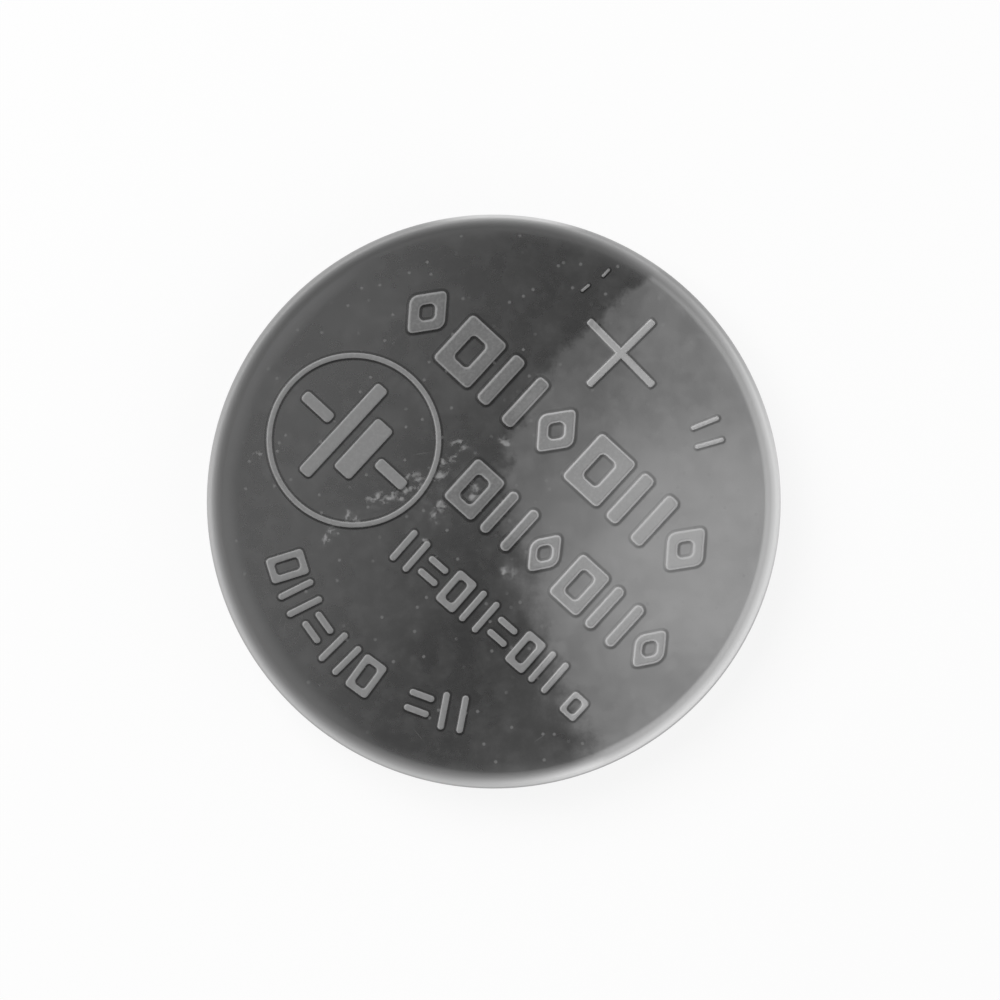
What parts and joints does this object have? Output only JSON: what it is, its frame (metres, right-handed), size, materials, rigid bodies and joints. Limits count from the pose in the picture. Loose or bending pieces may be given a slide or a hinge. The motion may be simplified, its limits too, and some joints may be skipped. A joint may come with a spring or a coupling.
{
  "type": "lithium coin cell",
  "caption": "Flat round lithium coin cell: pressed steel can crimped over a moulded gasket and a raised negative cap, with the electrode stack sealed inside.",
  "frame": {"origin": "centre of the negative face, on the surface that the cell lies on", "axes": "+Z out of the positive face, square to both faces; +X to the right in the picture and +Y to its top"},
  "size_m": [0.02, 0.02, 0.0025],
  "materials": {
    "can_steel": "nickel plated steel, pressed, lightly scuffed",
    "cap_steel": "nickel plated steel, satin",
    "gasket_plastic": "moulded polypropylene, milky",
    "lithium_metal": "soft metal foil, cut",
    "separator_felt": "nonwoven polypropylene felt",
    "cathode_powder": "pressed manganese dioxide powder",
    "grid_steel": "expanded stainless steel sheet"
  },
  "bodies": {
    "root": {"positive_can": "can_steel", "negative_cap": "cap_steel", "sealing_gasket": "gasket_plastic", "lithium_disc": "lithium_metal", "separator": "separator_felt", "cathode_pellet": "cathode_powder", "collector_grid": "grid_steel"}
  },
  "joints": []
}
